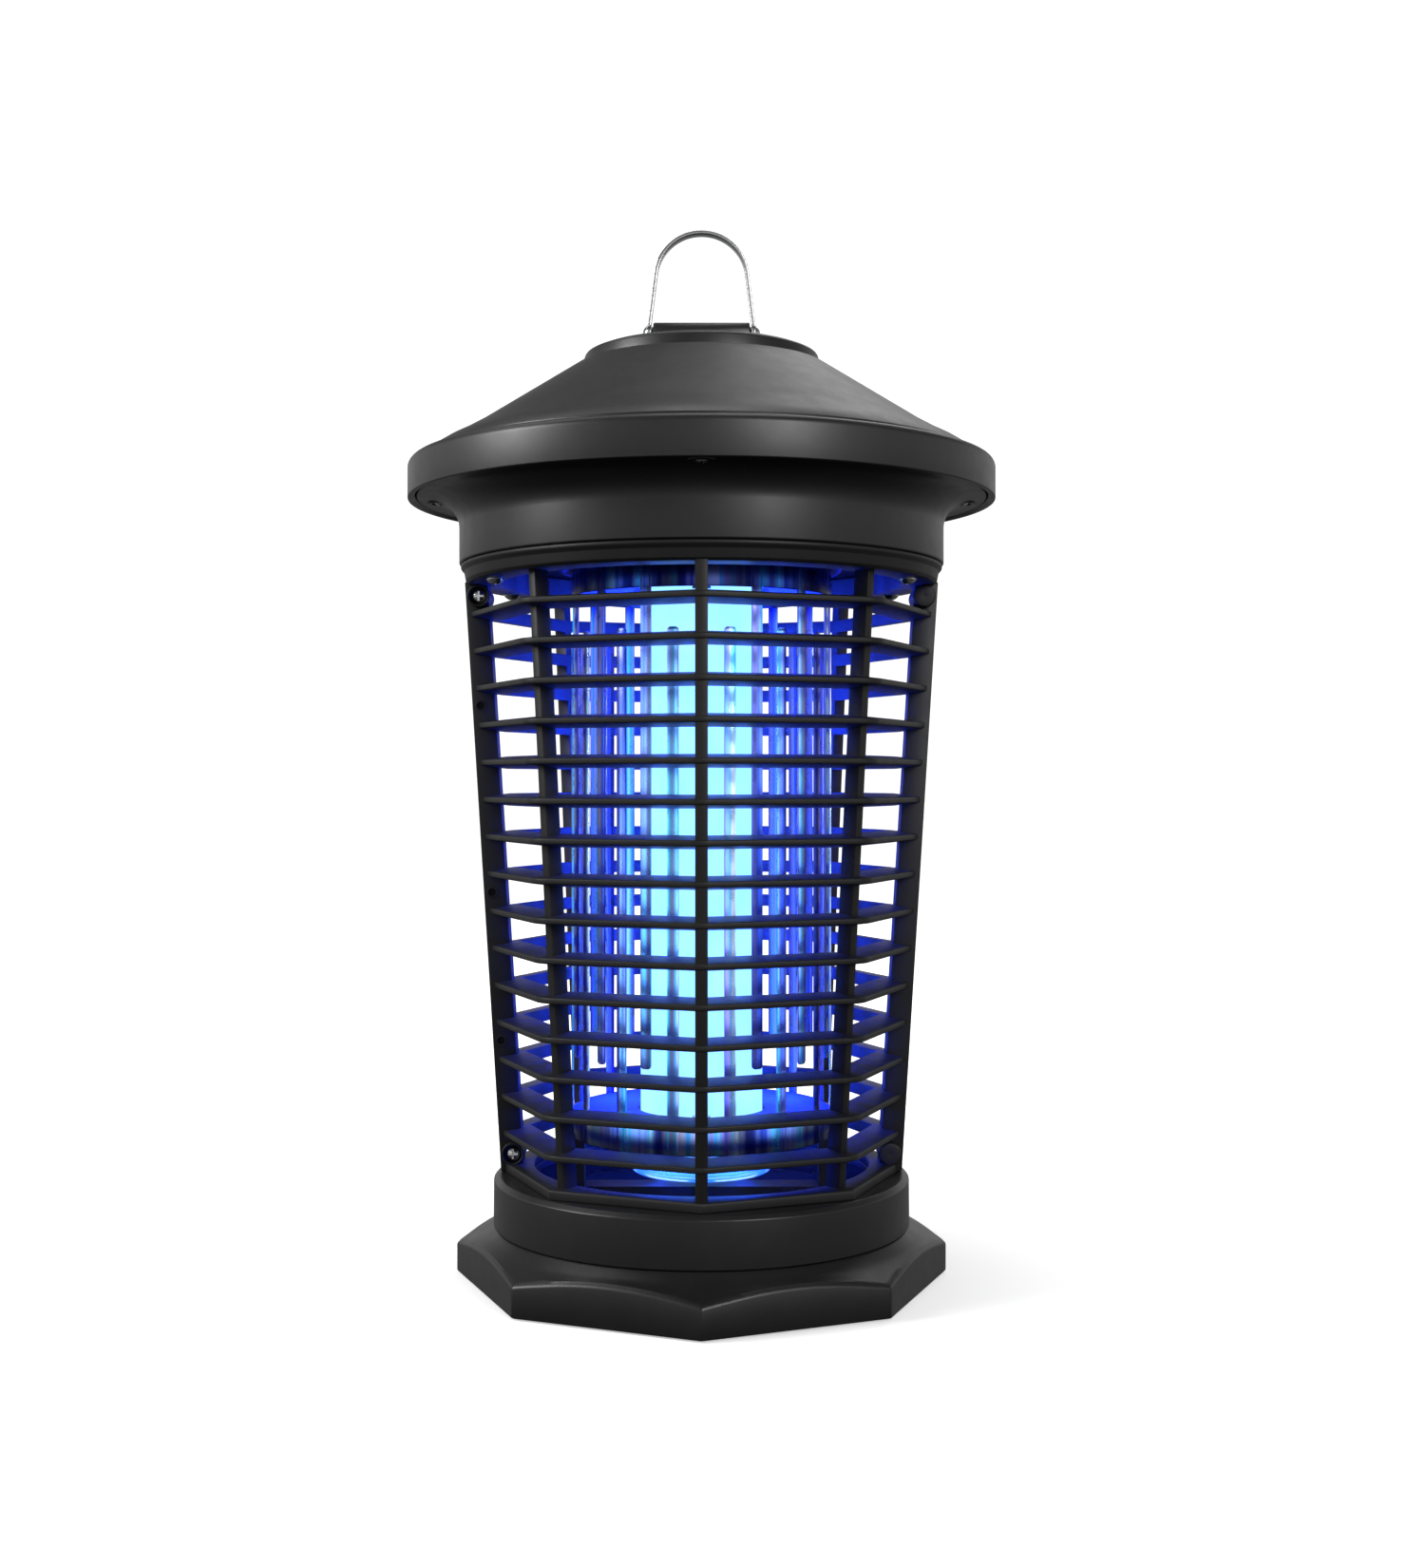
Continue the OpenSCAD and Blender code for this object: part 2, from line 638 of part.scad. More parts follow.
module lamp_leads() {
    z = board_z + 2.5;
    color([0.85, 0.85, 0.85]) for (s = [-1, 1])
        wire([[s * 4, 36, z + 0.4], [s * 5, 31, z + 10], [s * 6, 26, 255], [s * 6, 18.4, 262]], lead_r);
}

// ---------------------------------------------------------------- hanger and bail
cap_r = 37;
cap_z = cone_top + gap / 2;
cap_h = 5.8;
cap_top = cap_z + cap_h;
pivot_z = cap_top + 5.3;
bar_r = 3.5;
pin_r = 1.5;
spacer_l = 0.5;
spacer_r = 2.2;
eye_x = bar_l / 2 + spacer_l + gap;
eye_r = 3.2;
arch_r = 14.75;
// Height above the pin at which the strip starts to lean inwards
lean_h = 2.6;
cap_screw_r = 24;
cap_screw_angles = [30, 150, 270];

module hanger_cap() {
    color([0.16, 0.16, 0.165]) difference() {
        union() {
            turned([[0, cap_top], [16, cap_top], [27, cap_top - 0.5], [33.2, cap_top - 1],
                    [34.6, cap_top - 1.2], [35.5, cap_top - 1.8], [cap_r - 1, cap_top - 2.7],
                    [cap_r - 0.8, cap_z + 2], [cap_r, cap_z],
                    [cap_r - wall, cap_z], [cap_r - wall - 0.6, cap_top - wall - 1.2],
                    [27, cap_top - wall - 0.6], [16, cap_top - wall], [0, cap_top - wall]]);
            spoke(cap_screw_angles, cap_screw_r) rod(3.6, cap_z, cap_top - 1);
            translate([-bar_l / 2, -bar_r, cap_top - 1]) cube([bar_l, 2 * bar_r, pivot_z - cap_top + 1]);
            translate([-bar_l / 2, 0, pivot_z]) rotate([0, 90, 0]) cylinder(r = bar_r, h = bar_l);
            translate([-bar_l / 2 - spacer_l, 0, pivot_z]) rotate([0, 90, 0])
                cylinder(r = spacer_r, h = bar_l + 2 * spacer_l, $fn = 40);
        }
        translate([-30, 0, pivot_z]) rotate([0, 90, 0]) cylinder(r = pin_r + 0.01, h = 60, $fn = 40);
        spoke(cap_screw_angles, cap_screw_r) rod(hole_r, cap_z - 1, cap_z + 4.2);
    }
}

module cap_screws() {
    color("silver") spoke(cap_screw_angles, cap_screw_r) translate([0, 0, cone_top - roof_t - gap / 2])
        screw(6.8);
}

module bail_pin() {
    half = eye_x + bail_t + gap;
    color("silver") translate([0, 0, pivot_z]) rotate([0, 90, 0]) {
        translate([0, 0, -half - 0.5]) cylinder(r = pin_r, h = 2 * half + 1, $fn = 40);
        for (s = [0, 180]) rotate([s, 0, 0]) intersection() {
            translate([0, 0, half]) cylinder(r = 2.4, h = 1.3, $fn = 40);
            translate([0, 0, half - 1.5]) sphere(r = 2.9, $fn = 48);
        }
    }
}

// One edge of the bail's strip, inset millimetres inside its outer edge: a leg each side, tangent to the arch
function bail_edge(inset) =
    let (r = arch_r - inset, top = pivot_z + bail_h - arch_r, foot = eye_x + bail_t - inset,
         fall = pivot_z + lean_h - top, splay = atan2(fall, foot) + acos(r / norm([foot, fall])))
    concat([[foot, pivot_z], [foot, pivot_z + lean_h]],
           arc(0, top, r, splay, 180 - splay, 28),
           [[-foot, pivot_z + lean_h], [-foot, pivot_z]]);

function reversed(list) = [for (i = [len(list) - 1:-1:0]) list[i]];

module bail() {
    color([0.8, 0.8, 0.82]) difference() {
        union() {
            rotate([90, 0, 0]) linear_extrude(height = bail_w, center = true)
                polygon(concat(bail_edge(0), reversed(bail_edge(bail_t))));
            for (s = [0, 180]) rotate([0, 0, s]) translate([eye_x, 0, pivot_z]) rotate([0, 90, 0])
                cylinder(r = eye_r, h = bail_t, $fn = 40);
        }
        translate([-30, 0, pivot_z]) rotate([0, 90, 0]) cylinder(r = pin_r + 0.05, h = 60, $fn = 40);
    }
}

bail();
bail_pin();
hanger_cap();
cap_screws();
roof();
head_base();
head_screws();
cable_gland();
gland_nut();
driver_board();
board_screws();
transformer();
capacitors();
diodes();
grid_leads();
lamp_leads();
lamp_socket();
socket_bracket();
lamp_contact();
lamp_shell();
lamp_neck();
lamp_tube();
lamp_cup();
upper_insulator();
upper_comb();
lower_insulator();
lower_comb();
tie_rods();
tie_nuts();
cage_front();
cage_back();
cage_screws();
neck_screws();
lower_bracket();
bracket_screws();
base_collar();
collar_screws();
tray();
tray_feet();
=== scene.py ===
import json
import math
import bpy
import bmesh
from mathutils import Vector, Matrix

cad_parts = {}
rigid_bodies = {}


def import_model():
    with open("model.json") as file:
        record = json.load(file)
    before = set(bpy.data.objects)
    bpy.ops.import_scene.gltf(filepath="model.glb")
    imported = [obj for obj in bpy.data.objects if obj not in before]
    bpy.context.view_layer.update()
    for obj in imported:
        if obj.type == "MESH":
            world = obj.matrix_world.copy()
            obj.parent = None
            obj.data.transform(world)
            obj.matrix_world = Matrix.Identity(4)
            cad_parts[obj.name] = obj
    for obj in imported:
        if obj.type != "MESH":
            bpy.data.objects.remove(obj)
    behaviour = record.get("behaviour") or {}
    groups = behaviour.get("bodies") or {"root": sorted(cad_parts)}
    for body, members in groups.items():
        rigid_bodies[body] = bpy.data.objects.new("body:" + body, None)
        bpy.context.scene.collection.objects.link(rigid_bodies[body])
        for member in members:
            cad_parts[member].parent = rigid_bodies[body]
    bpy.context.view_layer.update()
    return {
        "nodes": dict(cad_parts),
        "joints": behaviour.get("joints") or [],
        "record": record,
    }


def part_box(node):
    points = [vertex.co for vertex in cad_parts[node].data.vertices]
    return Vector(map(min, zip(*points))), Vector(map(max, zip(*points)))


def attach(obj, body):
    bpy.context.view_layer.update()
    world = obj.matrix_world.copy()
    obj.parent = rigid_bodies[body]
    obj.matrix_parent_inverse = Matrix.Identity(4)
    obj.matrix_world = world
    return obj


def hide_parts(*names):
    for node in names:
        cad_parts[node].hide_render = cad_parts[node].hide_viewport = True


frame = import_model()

MM = 0.001
NODES = frame["nodes"]
EIGHTH = math.radians(22.5)


# ------------------------------------------------------------------ materials
def new_material(name):
    mat = bpy.data.materials.new(name)
    mat.use_nodes = True
    tree = mat.node_tree
    return mat, tree, tree.nodes["Principled BSDF"]


def noise(tree, scale, detail=3.0, rough=0.55, stretch=None):
    """A noise texture in object space; stretch scales the coordinates along X, Y and Z."""
    coord = tree.nodes.new("ShaderNodeTexCoord")
    tex = tree.nodes.new("ShaderNodeTexNoise")
    tex.inputs["Scale"].default_value = scale
    tex.inputs["Detail"].default_value = detail
    tex.inputs["Roughness"].default_value = rough
    if stretch:
        mapping = tree.nodes.new("ShaderNodeMapping")
        mapping.inputs["Scale"].default_value = stretch
        tree.links.new(coord.outputs["Object"], mapping.inputs["Vector"])
        tree.links.new(mapping.outputs["Vector"], tex.inputs["Vector"])
    else:
        tree.links.new(coord.outputs["Object"], tex.inputs["Vector"])
    return tex


def ramp(tree, source, stops, socket):
    node = tree.nodes.new("ShaderNodeValToRGB")
    node.color_ramp.elements[0].position = stops[0][0]
    node.color_ramp.elements[0].color = (*stops[0][1], 1)
    node.color_ramp.elements[1].position = stops[-1][0]
    node.color_ramp.elements[1].color = (*stops[-1][1], 1)
    for at, colour in stops[1:-1]:
        node.color_ramp.elements.new(at).color = (*colour, 1)
    tree.links.new(source, node.inputs["Fac"])
    tree.links.new(node.outputs["Color"], socket)


def vary(tree, source, low, high, socket):
    node = tree.nodes.new("ShaderNodeMapRange")
    node.inputs["To Min"].default_value = low
    node.inputs["To Max"].default_value = high
    node.inputs["From Min"].default_value = 0.3
    node.inputs["From Max"].default_value = 0.7
    tree.links.new(source, node.inputs["Value"])
    tree.links.new(node.outputs["Result"], socket)


def bump(tree, bsdf, source, distance, strength=1.0):
    node = tree.nodes.new("ShaderNodeBump")
    node.inputs["Distance"].default_value = distance
    node.inputs["Strength"].default_value = strength
    tree.links.new(source, node.inputs["Height"])
    tree.links.new(node.outputs["Normal"], bsdf.inputs["Normal"])


def plastic(name, base, rough, specular=0.5, grain=2600.0, depth=0.00002, spread=0.18):
    """Moulded plastic: a fine spark-eroded grain, faint mottling and uneven gloss."""
    mat, tree, bsdf = new_material(name)
    bsdf.inputs["Specular IOR Level"].default_value = specular
    broad = noise(tree, 38.0, 4.0)
    ramp(tree, broad.outputs["Fac"],
         [(0.3, tuple(c * (1 - spread) for c in base)), (0.7, tuple(c * (1 + spread) for c in base))],
         bsdf.inputs["Base Color"])
    mid = noise(tree, 190.0, 5.0, 0.6)
    vary(tree, mid.outputs["Fac"], rough * 0.93, rough * 1.07, bsdf.inputs["Roughness"])
    fine = noise(tree, grain, 2.0, 0.6)
    bump(tree, bsdf, fine.outputs["Fac"], depth, 0.6)
    return mat


def metal(name, base, rough, stretch=(1, 1, 1), grain=900.0, depth=0.000004):
    """Bright metal with a drawn or rolled grain along one direction."""
    mat, tree, bsdf = new_material(name)
    bsdf.inputs["Metallic"].default_value = 1.0
    broad = noise(tree, 60.0, 3.0)
    ramp(tree, broad.outputs["Fac"],
         [(0.3, tuple(c * 0.93 for c in base)), (0.7, tuple(min(1.0, c * 1.05) for c in base))],
         bsdf.inputs["Base Color"])
    lines = noise(tree, grain, 4.0, 0.6, stretch)
    vary(tree, lines.outputs["Fac"], rough * 0.75, rough * 1.25, bsdf.inputs["Roughness"])
    bump(tree, bsdf, lines.outputs["Fac"], depth, 0.5)
    return mat


def height_in(tree, low, high):
    """How far up a point lies between two heights, from 0 to 1."""
    coord = tree.nodes.new("ShaderNodeTexCoord")
    split = tree.nodes.new("ShaderNodeSeparateXYZ")
    tree.links.new(coord.outputs["Object"], split.inputs["Vector"])
    up = tree.nodes.new("ShaderNodeMapRange")
    up.inputs["From Min"].default_value = low
    up.inputs["From Max"].default_value = high
    tree.links.new(split.outputs["Z"], up.inputs["Value"])
    return up


def grid_metal(name):
    """Bright rolled strip with long upright streaks, tinted blue, violet and cyan as a painted reflection of
    the lamp's glow; its end bands are darkened as painted shade from the insulators.
    """
    mat, tree, bsdf = new_material(name)
    bsdf.inputs["Metallic"].default_value = 1.0
    grain_and_sheen = noise(tree, 260.0, 2.0, 0.5, (1, 1, 0.012))
    mix = tree.nodes.new("ShaderNodeMix")
    mix.data_type = "RGBA"
    mix.blend_type = "MULTIPLY"
    mix.inputs["Factor"].default_value = 1.0
    tree.links.new(mix.outputs["Result"], bsdf.inputs["Base Color"])
    # painted reflection: the strip colours are blue, violet and cyan tints standing in for the lamp's glow on
    # the metal
    ramp(tree, grain_and_sheen.outputs["Fac"],
         [(0.36, (0.05, 0.07, 0.40)), (0.44, (0.22, 0.24, 0.72)), (0.50, (0.42, 0.38, 0.72)),
          (0.57, (0.10, 0.66, 1.0)), (0.64, (0.80, 0.84, 1.0))], mix.inputs["A"])
    # painted shade: below about 0.05 m and above about 0.20 m the colour is darkened, for the insulators'
    # shade on the end bands
    ramp(tree, height_in(tree, 0.0, 0.25).outputs["Result"],
         [(0.19, (0.22, 0.22, 0.24)), (0.212, (1, 1, 1)), (0.81, (1, 1, 1)), (0.833, (0.10, 0.11, 0.16))],
         mix.inputs["B"])
    cloud = noise(tree, 90.0, 2.0)
    vary(tree, cloud.outputs["Fac"], 0.24, 0.32, bsdf.inputs["Roughness"])
    return mat


def lamp_glow(name):
    """The phosphor coat behind the glass: a pale cyan glow with faint clouds."""
    mat, tree, bsdf = new_material(name)
    bsdf.inputs["Roughness"].default_value = 0.12
    cloud = noise(tree, 55.0, 2.0)
    ramp(tree, cloud.outputs["Fac"], [(0.25, (0.34, 0.90, 1.0)), (0.75, (0.46, 1.0, 1.0))],
         bsdf.inputs["Emission Color"])
    ramp(tree, cloud.outputs["Fac"], [(0.25, (0.05, 0.10, 0.12)), (0.75, (0.06, 0.12, 0.14))],
         bsdf.inputs["Base Color"])
    bsdf.inputs["Emission Strength"].default_value = 1.0
    return mat


def cup_with_painted_glow(name):
    """A clear cup round the lamp's end: the lamp shows through it, and its wall carries painted lamp light, a
    deep blue emission that fades towards the top.
    """
    mat, tree, bsdf = new_material(name)
    bsdf.inputs["Transmission Weight"].default_value = 0.9
    bsdf.inputs["IOR"].default_value = 1.12
    haze = noise(tree, 120.0, 3.0)
    vary(tree, haze.outputs["Fac"], 0.05, 0.10, bsdf.inputs["Roughness"])
    ramp(tree, haze.outputs["Fac"], [(0.3, (0.55, 0.86, 1.0)), (0.7, (0.62, 0.90, 1.0))],
         bsdf.inputs["Base Color"])
    # painted lamp light: the wall glows deep blue, strongest at the bottom and dimmest at the top
    ramp(tree, height_in(tree, 0.032, 0.044).outputs["Result"],
         [(0.0, (0.01, 0.10, 0.8)), (0.5, (0.004, 0.06, 0.7)), (1.0, (0.002, 0.01, 0.3))],
         bsdf.inputs["Emission Color"])
    bsdf.inputs["Emission Strength"].default_value = 0.7
    return mat


MATS = {
    "housing_black": plastic("housing_black", (0.010, 0.010, 0.0103), 0.40, 0.5),
    "cage_black": plastic("cage_black", (0.010, 0.010, 0.0105), 0.48, 0.27),
    "base_black": plastic("base_black", (0.009, 0.009, 0.0092), 0.37, 0.45),
    "bracket_black": plastic("bracket_black", (0.010, 0.010, 0.012), 0.55, 0.35),
    "gland_black": plastic("gland_black", (0.0025, 0.0025, 0.0026), 0.7, 0.12),
    "bail_steel": metal("bail_steel", (0.44, 0.445, 0.45), 0.24, (1, 1, 9)),
    "screw_steel": metal("screw_steel", (0.72, 0.72, 0.73), 0.16, (4, 1, 1)),
    "grid_metal": grid_metal("grid_metal"),
    "insulator": plastic("insulator", (0.018, 0.024, 0.075), 0.55, 0.2, 1800.0, 0.00001),
    "lamp_glass": lamp_glow("lamp_glass"),
    "cup_clear": cup_with_painted_glow("cup_clear"),
    "lamp_collar": plastic("lamp_collar", (0.72, 0.72, 0.69), 0.35, 0.5, 1500.0, 0.00001, 0.04),
    "lamp_brass": metal("lamp_brass", (0.78, 0.60, 0.30), 0.25, (1, 1, 8)),
    "board_green": plastic("board_green", (0.03, 0.16, 0.055), 0.3, 0.5, 700.0, 0.00001),
    "coil_yellow": plastic("coil_yellow", (0.62, 0.44, 0.08), 0.35, 0.5, 500.0, 0.00003),
    "capacitor_blue": plastic("capacitor_blue", (0.04, 0.10, 0.34), 0.3, 0.5),
    "diode_black": plastic("diode_black", (0.015, 0.015, 0.015), 0.35, 0.5),
    "lead_red": plastic("lead_red", (0.42, 0.02, 0.02), 0.4, 0.5),
    "lead_white": plastic("lead_white", (0.66, 0.66, 0.64), 0.4, 0.5, 2000.0, 0.00001, 0.05),
    "foot_rubber": plastic("foot_rubber", (0.012, 0.012, 0.012), 0.75, 0.3, 1200.0, 0.00004),
}

for part in frame["record"]["subparts"]:
    node = NODES[part["node"]]
    node.data.materials.clear()
    node.data.materials.append(MATS[part["material_slot"]])


# ------------------------------------------------------------------ mesh helpers, in millimetres
class Shell:
    """Collects closed surfaces into one mesh."""

    def __init__(self):
        self.bm = bmesh.new()

    def loops(self, rings, closed_path):
        """Joins rings of equal length into a skin: a capped tube if the path is open, else a torus."""
        made = [[self.bm.verts.new(Vector(p) * MM) for p in ring] for ring in rings]
        count = len(made[0])
        pairs = range(len(made)) if closed_path else range(len(made) - 1)
        for i in pairs:
            a, b = made[i], made[(i + 1) % len(made)]
            for j in range(count):
                k = (j + 1) % count
                self.bm.faces.new((a[j], a[k], b[k], b[j]))
        if not closed_path:
            self.bm.faces.new(list(reversed(made[0])))
            self.bm.faces.new(made[-1])

    def lathe(self, profile, steps=144, start=0.0, sweep=360.0, axis="Z", centre=(0, 0, 0)):
        """Turns a closed outline of (radius, height) points about an axis."""
        whole = abs(sweep - 360.0) < 1e-6
        count = steps if whole else steps + 1
        rings = []
        for i in range(count):
            a = math.radians(start + sweep * i / steps)
            ring = []
            for r, h in profile:
                x, y = r * math.cos(a), r * math.sin(a)
                p = {"Z": (x, y, h), "Y": (x, h, -y), "X": (h, x, y)}[axis]
                ring.append((p[0] + centre[0], p[1] + centre[1], p[2] + centre[2]))
            rings.append(ring)
        self.loops(rings, whole)

    def block(self, corners, width=0.3, segments=2):
        """A block with rounded edges: corners are the four of one end, then the four of the other."""
        v = [self.bm.verts.new(Vector(c) * MM) for c in corners]
        faces = [self.bm.faces.new([v[i] for i in f]) for f in
                 ((0, 1, 2, 3), (7, 6, 5, 4), (0, 4, 5, 1), (1, 5, 6, 2), (2, 6, 7, 3), (3, 7, 4, 0))]
        edges = list({e for f in faces for e in f.edges})
        bmesh.ops.bevel(self.bm, geom=edges, offset=width * MM, segments=segments, profile=0.5,
                        affect="EDGES")

    def piece(self, name, body, slot, *nodes, smooth=32.0):
        bmesh.ops.remove_doubles(self.bm, verts=self.bm.verts, dist=1e-7)
        bmesh.ops.dissolve_degenerate(self.bm, edges=self.bm.edges, dist=1e-7)
        bmesh.ops.recalc_face_normals(self.bm, faces=self.bm.faces)
        mesh = bpy.data.meshes.new(name)
        self.bm.to_mesh(mesh)
        self.bm.free()
        mesh.polygons.foreach_set("use_smooth", [True] * len(mesh.polygons))
        mesh.set_sharp_from_angle(angle=math.radians(smooth))
        mesh.materials.append(MATS[slot])
        obj = bpy.data.objects.new(name, mesh)
        bpy.context.scene.collection.objects.link(obj)
        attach(obj, body)
        if nodes:
            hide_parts(*nodes)
        return obj


def rounded(points, radius=0.4, steps=4):
    """A closed outline with its corners filleted; a point may carry its own radius as a third value."""
    out = []
    n = len(points)
    for i in range(n):
        p = Vector(points[i][:2])
        a = Vector(points[i - 1][:2]) - p
        b = Vector(points[(i + 1) % n][:2]) - p
        r = points[i][2] if len(points[i]) > 2 else radius
        if r <= 0 or a.length < 1e-6 or b.length < 1e-6:
            out.append((p.x, p.y))
            continue
        turn = a.angle(b)
        if turn > math.radians(172):
            out.append((p.x, p.y))
            continue
        cut = min(r / math.tan(turn / 2), a.length * 0.45, b.length * 0.45)
        r = cut * math.tan(turn / 2)
        centre = p + (a.normalized() + b.normalized()).normalized() * (r / math.sin(turn / 2))
        first, last = p + a.normalized() * cut - centre, p + b.normalized() * cut - centre
        swing = first.angle_signed(last)
        for k in range(steps + 1):
            q = first.copy()
            q.rotate(Matrix.Rotation(-swing * k / steps, 2))
            out.append((centre.x + q.x, centre.y + q.y))
    return out


def band(inner, outer, low, high):
    """The outline of a plain ring, from its two radii and two heights."""
    return [(inner, low), (outer, low), (outer, high), (inner, high)]


def arc(cx, cz, r, a0, a1, n=8):
    return [(cx + r * math.cos(math.radians(a0 + (a1 - a0) * i / n)),
             cz + r * math.sin(math.radians(a0 + (a1 - a0) * i / n)), 0) for i in range(n + 1)]


def around(radius, degrees):
    """A place at the floor's height, at a radius and an angle from +X."""
    return (radius * math.cos(math.radians(degrees)), radius * math.sin(math.radians(degrees)), 0)


def extent(node):
    low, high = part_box(node)
    return [v / MM for v in low], [v / MM for v in high]


# ------------------------------------------------------------------ sizes read from the frame
roof_lo, roof_hi = extent("roof")
base_lo = extent("head_base")[0]
cage_lo = extent("cage_front")[0]
tray_hi = extent("tray")[1]
comb_lo, comb_hi = extent("upper_comb")
low_comb_lo, low_comb_hi = extent("lower_comb")
cap_lo = extent("hanger_cap")[0]
bail_hi = extent("bail")[1]
lamp_lo, lamp_hi = extent("lamp_tube")
JOINTS = {j["name"]: j for j in frame["joints"]}
pivot_z = JOINTS["bail_hinge"]["pos_m"][2] / MM

RIM = roof_hi[0]
RIM_Z = roof_lo[2]
CONE_TOP = roof_hi[2]
NECK_Z = base_lo[2]
PLATE = NECK_Z + 20.2
NECK = 74.4
WALL = 2.4
CAGE_Z = cage_lo[2]
# Angles and radii of what repeats round the axis
QUARTERS = (0, 90, 180, 270)
LUGS = (45, 135, 225, 315)
FEET = (22.5, 112.5, 202.5, 292.5)
FEET_R = 61.0
RIM_SCREW_R = 80.5


# ------------------------------------------------------------------ roof
def roof():
    s = Shell()
    cone_z = 249.6
    outer = [(8, CONE_TOP), (38.9, CONE_TOP, 0.3), (70, cone_z + 9.5, 30), (76, cone_z + 6.1, 30),
             (80, cone_z + 4.1, 14), (82.6, cone_z + 2.5, 6), (84.7, cone_z + 0.8, 0.7),
             (85.0, cone_z - 0.7, 0.1), (85.6, cone_z - 0.7, 0.1), (85.9, cone_z - 0.35, 0.2)]
    rim = arc(RIM - 2.5, 246.8, 2.5, 82, 0, 8)
    inner = [(RIM, RIM_Z, 0.35), (RIM - 1.5, RIM_Z, 0.25), (RIM - 2.3, RIM_Z + 1, 0.2), (RIM - WALL, 245),
             (84, cone_z - 2.4), (76, cone_z + 2.9), (70, cone_z + 6.2),
             (38, CONE_TOP - 2.9), (8, CONE_TOP - 2.9)]
    s.lathe(rounded(outer + rim + inner, 0.3), 180)
    s.piece("roof_shell", "housing", "housing_black", "roof")


def head_base():
    s = Shell()
    flare = 9.0
    plate_t = 2.4
    outline = ([(22, NECK_Z + 1.1), (NECK - WALL, NECK_Z + 1.1, 0.2), (NECK - WALL, NECK_Z, 0.3),
                (NECK, NECK_Z, 0.55), (NECK, PLATE - flare, 0)]
               + arc(NECK + flare, PLATE - flare, flare, 180, 90, 14)
               + [(RIM - 2.75, PLATE, 0.3), (RIM - 2.75, PLATE + plate_t, 0.3)]
               + arc(NECK + flare, PLATE - flare, flare + plate_t, 90, 180, 10)
               + [(NECK - WALL, NECK_Z + 3.5), (22, NECK_Z + 3.5)])
    s.lathe(rounded(outline, 0.3), 180)
    s.lathe(rounded(band(4.15, 5.2, NECK - 1.5, NECK + 0.9), 0.25, 2), 48,
            axis="Y", centre=(0, 0, NECK_Z + 8.9))
    ring = [(2.95, PLATE - 0.55), (4.1, PLATE - 0.35), (4.3, PLATE + 0.3), (2.95, PLATE + 0.3)]
    for a in QUARTERS:
        s.lathe(rounded(ring, 0.15, 2), 40, centre=around(RIM_SCREW_R, a))
    s.piece("head_base_shell", "housing", "housing_black", "head_base")


def hanger_cap():
    s = Shell()
    z0 = cap_lo[2]
    top = z0 + 5.8
    outline = [(0, top), (16, top, 20), (27, top - 0.5, 20), (33.2, top - 1.0, 4), (36.0, top - 2.1, 1.9),
               (36.3, z0 + 2.2, 2), (37, z0, 0.2), (34.6, z0), (34, top - 3.6), (27, top - 3.0),
               (16, top - WALL), (0, top - WALL)]
    s.lathe(rounded(outline, 0.3), 160)
    half = 14.9
    depth = 3.5
    bar = ([(-depth, top - 1.2), (-depth, pivot_z)]
           + [p[:2] for p in arc(0, pivot_z, depth, 180, 0, 18)]
           + [(depth, pivot_z), (depth, top - 1.2)])
    # the bar's ends are rounded: each station along it has its place and how far it draws in
    stations = [(-half, 0.35), (-half + 0.12, 0.12), (-half + 0.35, 0.0)]
    stations += [(-x, inset) for x, inset in reversed(stations)]
    rings = []
    for x, inset in stations:
        ring = []
        for y, z in bar:
            d = Vector((y, z - pivot_z))
            k = (d.length - inset) / d.length
            ring.append((x, d.x * k, pivot_z + d.y * k))
        rings.append(ring)
    s.loops(rings, False)
    for side in (-1, 1):
        s.lathe(rounded(band(1.52, 2.2, side * 14.8, side * 15.38), 0.15, 2), 40,
                axis="X", centre=(0, 0, pivot_z))
    s.piece("hanger_cap_shell", "housing", "housing_black", "hanger_cap")


# ------------------------------------------------------------------ bail
def bail():
    s = Shell()
    thick, wide = 1.2, 4.0
    foot = bail_hi[0]
    rad = 14.75
    top = bail_hi[2] - rad
    fall = pivot_z + 2.6 - top
    splay = math.degrees(math.atan2(fall, foot) + math.acos(rad / math.hypot(foot, fall)))
    path = [(foot, pivot_z - 0.2), (foot, pivot_z + 2.0), (foot - 0.03, pivot_z + 2.9)]
    legs = len(path)
    path += [(rad * math.cos(math.radians(a)), top + rad * math.sin(math.radians(a)))
             for a in [splay + (180 - 2 * splay) * i / 44 for i in range(45)]]
    path += [(-x, z) for x, z in reversed(path[:legs])]
    r = 0.35
    section = rounded(band(0, thick, -wide / 2, wide / 2), r, 3)
    rings = []
    for i, p in enumerate(path):
        a = Vector(path[max(i - 1, 0)])
        b = Vector(path[min(i + 1, len(path) - 1)])
        t = (b - a).normalized()
        n = Vector((-t.y, t.x))
        rings.append([(p[0] + n.x * d, w, p[1] + n.y * d) for d, w in section])
    s.loops(rings, False)
    for side in (-1, 1):
        inner, outer = sorted((side * (foot - thick), side * foot))
        s.lathe(rounded(band(1.56, 3.2, inner, outer), 0.25, 3), 48,
                axis="X", centre=(0, 0, pivot_z))
    s.piece("bail_strip", "bail", "bail_steel", "bail")


# ------------------------------------------------------------------ cage
TAPER = 0.0615
CAGE_R = 61.8
LOUVRES = 15
PITCH = 11.39
FIRST = 43.8
DEEP = 9.0
RING_Z = 212.2
RING_IN = 61.3
RING_OUT = 73.9
FLANGE_IN = 51.5
# Heights of the screw bosses and of the small round marks on the side posts
BOSSES = (37.9, 208.7)
DIMPLES = (72.3, 117.8, 175.2)
POST_Y = -4.0


def cage_r(z):
    return CAGE_R + (z - CAGE_Z) * TAPER


